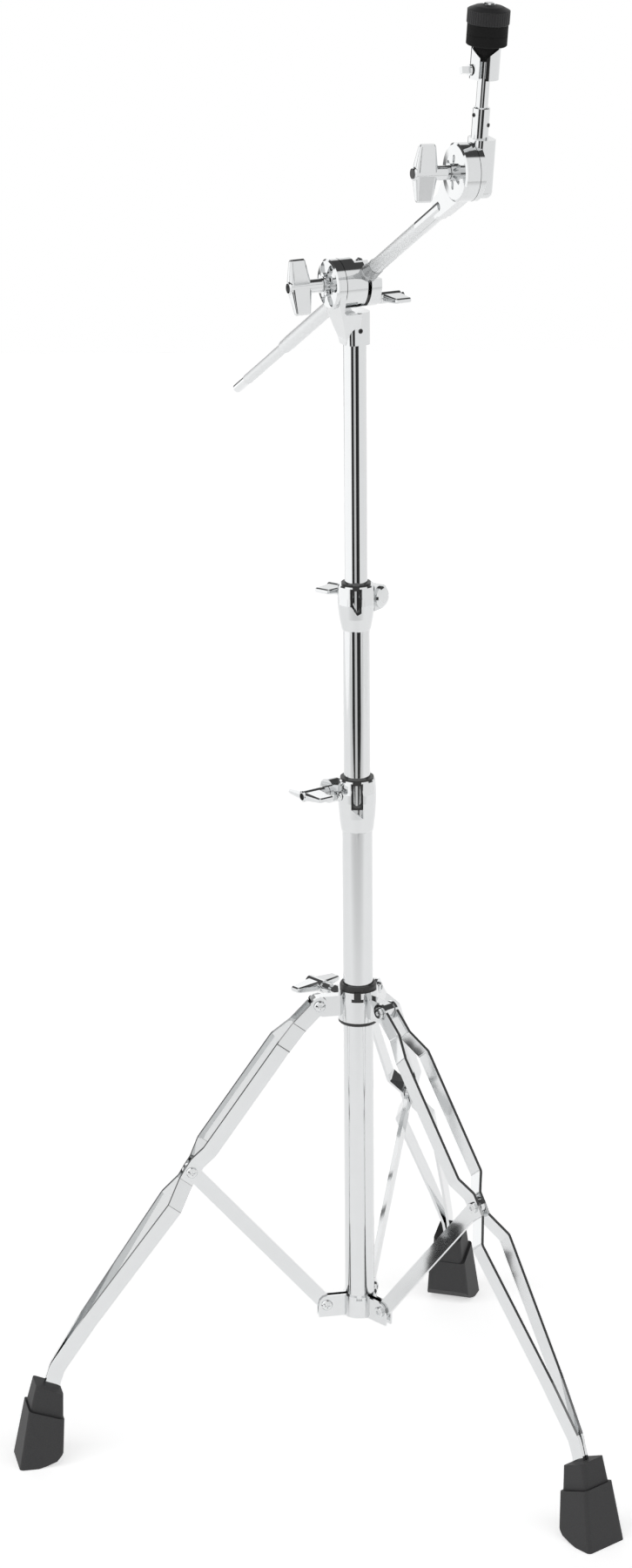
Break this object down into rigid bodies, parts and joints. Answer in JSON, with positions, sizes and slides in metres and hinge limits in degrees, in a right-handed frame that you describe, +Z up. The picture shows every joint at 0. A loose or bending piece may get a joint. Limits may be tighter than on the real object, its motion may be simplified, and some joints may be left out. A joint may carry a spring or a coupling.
{
  "type": "cymbal boom stand",
  "caption": "Chrome cymbal boom stand: folding tripod with double-braced legs, telescoping tubes, counter boom and tilting cymbal rod with felts and cap.",
  "frame": {"origin": "bottom centre of the overall box, on the floor", "axes": "+Z up along the column; the camera side is -Y"},
  "size_m": [0.5198, 0.5336, 1.2698],
  "materials": {
    "chrome_steel": "polished chrome plate",
    "chrome_cast": "polished chrome plate on castings",
    "knurled_chrome": "fine knurl under chrome plate",
    "satin_steel": "satin",
    "black_nylon": "semi-matte",
    "foot_rubber": "matte",
    "black_rubber": "matte",
    "black_steel": "black oxide",
    "felt": "black wool felt",
    "cap_plastic": "semi-matte, knurled"
  },
  "bodies": {
    "column": {"base_tube": "chrome_steel", "lower_clamp": "chrome_cast", "lower_clamp_bush": "black_nylon", "lower_clamp_bolt": "chrome_steel", "brace_collar": "chrome_steel", "collar_bolts": "chrome_steel"},
    "lower_clamp_nut": {"lower_clamp_wing_nut": "chrome_cast"},
    "brace_left": {"brace_left": "chrome_steel"},
    "brace_right": {"brace_right": "chrome_steel"},
    "brace_back": {"brace_back": "chrome_steel"},
    "leg_hub": {"leg_hub": "chrome_cast", "hub_bush": "black_nylon", "hub_pivot_bolts": "chrome_steel"},
    "hub_wing_bolt": {"hub_wing_bolt": "chrome_cast"},
    "left_leg": {"left_leg_bars": "chrome_steel", "left_knee_bolt": "chrome_steel", "left_foot": "foot_rubber"},
    "right_leg": {"right_leg_bars": "chrome_steel", "right_knee_bolt": "chrome_steel", "right_foot": "foot_rubber"},
    "back_leg": {"back_leg_bars": "chrome_steel", "back_knee_bolt": "chrome_steel", "back_foot": "foot_rubber"},
    "middle_guide": {"middle_tube_guide": "black_nylon"},
    "middle_section": {"middle_tube": "chrome_steel", "upper_clamp": "chrome_cast", "upper_clamp_bush": "black_nylon", "upper_clamp_bolt": "chrome_steel"},
    "upper_clamp_nut": {"upper_clamp_wing_nut": "chrome_cast"},
    "upper_guide": {"upper_tube_guide": "black_nylon"},
    "upper_section": {"upper_tube": "chrome_steel", "tilter_yoke": "chrome_cast", "yoke_set_screw": "black_steel", "ratchet_cap": "chrome_cast", "tilt_washer": "chrome_steel"},
    "boom_clamp": {"clamp_body": "chrome_cast", "tilt_bolt": "chrome_steel", "jaw_screw": "chrome_steel", "clamp_top_screws": "chrome_steel"},
    "tilt_nut": {"tilt_wing_nut": "chrome_cast"},
    "boom_jaw": {"clamp_jaw": "chrome_cast", "jaw_pad": "black_rubber"},
    "jaw_nut": {"jaw_wing_nut": "chrome_cast"},
    "boom_collet": {"boom_sleeve": "satin_steel"},
    "boom": {"boom_tube": "knurled_chrome", "boom_rear_rod": "knurled_chrome", "tilter_neck": "chrome_cast", "tilter_cap": "chrome_cast"},
    "tilter_nut": {"tilter_wing_nut": "chrome_cast"},
    "cymbal_tilter": {"tilter_body": "chrome_cast", "tilter_bolt": "chrome_steel", "tilter_post": "chrome_steel", "post_set_screws": "black_steel", "cymbal_rod": "chrome_steel", "cymbal_cup": "chrome_cast", "cup_key_screw": "chrome_steel", "cymbal_sleeve": "black_rubber", "lower_felt": "felt"},
    "top_felt": {"upper_felt": "felt"},
    "cap": {"cymbal_cap": "cap_plastic"}
  },
  "joints": [
    {"name": "fold", "type": "hinge", "parent": "column", "child": "brace_left", "pos_m": [0.0121, -0.03498, 0.121], "axis": [-0.2113, 0.9774, 0], "range_deg": [-4, 33]},
    {"name": "left_knee", "type": "hinge", "parent": "brace_left", "child": "left_leg", "pos_m": [-0.10226, -0.0597, 0.257], "axis": [0.2113, -0.9774, 0], "range_deg": [-8.37, 65.46]},
    {"name": "left_hub_pivot", "type": "hinge", "parent": "left_leg", "child": "leg_hub", "pos_m": [0.00722, -0.03603, 0.4], "axis": [-0.2113, 0.9774, 0], "range_deg": [-4.37, 32.46]},
    {"name": "right_hub_pivot", "type": "hinge", "parent": "leg_hub", "child": "right_leg", "pos_m": [0.06494, -0.05457, 0.4], "axis": [0.7408, 0.6717, 0], "range_deg": [-4.37, 32.46]},
    {"name": "right_collar_pivot", "type": "hinge", "parent": "column", "child": "brace_right", "pos_m": [0.06158, -0.05086, 0.121], "axis": [-0.7408, -0.6717, 0], "range_deg": [-4.5, 33.5]},
    {"name": "back_hub_pivot", "type": "hinge", "parent": "leg_hub", "child": "back_leg", "pos_m": [0.05212, 0.00469, 0.4], "axis": [-0.9521, 0.3057, 0], "range_deg": [-4.37, 32.46]},
    {"name": "back_collar_pivot", "type": "hinge", "parent": "column", "child": "brace_back", "pos_m": [0.0506, -0.00007, 0.121], "axis": [0.9521, -0.3057, 0], "range_deg": [-4.5, 33.5]},
    {"name": "hub_bolt_spin", "type": "hinge", "parent": "leg_hub", "child": "hub_wing_bolt", "pos_m": [0.01466, 0.00109, 0.4], "axis": [-0.6691, 0.7431, 0], "continuous": true},
    {"name": "lower_nut_spin", "type": "hinge", "parent": "column", "child": "lower_clamp_nut", "pos_m": [0.03108, -0.0144, 0.5865], "axis": [-0.809, -0.5878, 0], "continuous": true},
    {"name": "middle_slide", "type": "slide", "parent": "column", "child": "middle_guide", "axis": [0, 0, 1], "range_m": [-0.11, 0.08]},
    {"name": "middle_swivel", "type": "hinge", "parent": "middle_guide", "child": "middle_section", "pos_m": [0.04142, -0.02864, 0.43], "axis": [0, 0, 1], "continuous": true},
    {"name": "upper_nut_spin", "type": "hinge", "parent": "middle_section", "child": "upper_clamp_nut", "pos_m": [0.05106, -0.01488, 0.7546], "axis": [-0.8192, 0.5736, 0], "continuous": true},
    {"name": "upper_slide", "type": "slide", "parent": "middle_section", "child": "upper_guide", "axis": [0, 0, 1], "range_m": [-0.14, 0.08]},
    {"name": "upper_swivel", "type": "hinge", "parent": "upper_guide", "child": "upper_section", "pos_m": [0.04142, -0.02864, 0.61], "axis": [0, 0, 1], "continuous": true},
    {"name": "boom_tilt", "type": "hinge", "parent": "upper_section", "child": "boom_clamp", "pos_m": [0.04142, -0.02864, 1.0206], "axis": [-0.9056, -0.4242, 0], "range_deg": [-70, 18]},
    {"name": "tilt_nut_spin", "type": "hinge", "parent": "boom_clamp", "child": "tilt_nut", "pos_m": [0.04142, -0.02864, 1.0206], "axis": [-0.9056, -0.4242, 0], "continuous": true},
    {"name": "jaw_open", "type": "slide", "parent": "boom_clamp", "child": "boom_jaw", "axis": [0.9056, 0.4242, 0], "range_m": [0, 0.0015]},
    {"name": "jaw_nut_spin", "type": "hinge", "parent": "boom_jaw", "child": "jaw_nut", "pos_m": [0.04142, -0.02864, 1.0051], "axis": [0.9056, 0.4242, 0], "continuous": true},
    {"name": "boom_roll", "type": "hinge", "parent": "boom_clamp", "child": "boom_collet", "pos_m": [0.04532, -0.02681, 1.0206], "axis": [0.3688, -0.7874, 0.4939], "continuous": true},
    {"name": "boom_slide", "type": "slide", "parent": "boom_collet", "child": "boom", "axis": [0.3688, -0.7874, 0.4939], "range_m": [-0.08, 0.105]},
    {"name": "cymbal_tilt", "type": "hinge", "parent": "boom", "child": "cymbal_tilter", "pos_m": [0.12899, -0.19406, 1.14055], "axis": [0.9159, 0.3986, -0.0485], "range_deg": [-35, 40]},
    {"name": "tilter_nut_spin", "type": "hinge", "parent": "cymbal_tilter", "child": "tilter_nut", "pos_m": [0.12899, -0.19406, 1.14055], "axis": [-0.9159, -0.3986, 0.0485], "continuous": true},
    {"name": "felt_lift", "type": "slide", "parent": "cymbal_tilter", "child": "top_felt", "axis": [0.0692, -0.0376, 0.9969], "range_m": [0, 0.024]},
    {"name": "cap_spin", "type": "hinge", "parent": "top_felt", "child": "cap", "pos_m": [0.14328, -0.19556, 1.25365], "axis": [0.0692, -0.0376, 0.9969], "continuous": true}
  ],
  "couplings": [
    {"joint": "left_knee", "follows": "fold", "ratio": 1.9685},
    {"joint": "left_hub_pivot", "follows": "fold", "ratio": 0.9685},
    {"joint": "right_hub_pivot", "follows": "fold", "ratio": 0.9685},
    {"joint": "right_collar_pivot", "follows": "fold", "ratio": 1},
    {"joint": "back_hub_pivot", "follows": "fold", "ratio": 0.9685},
    {"joint": "back_collar_pivot", "follows": "fold", "ratio": 1}
  ]
}
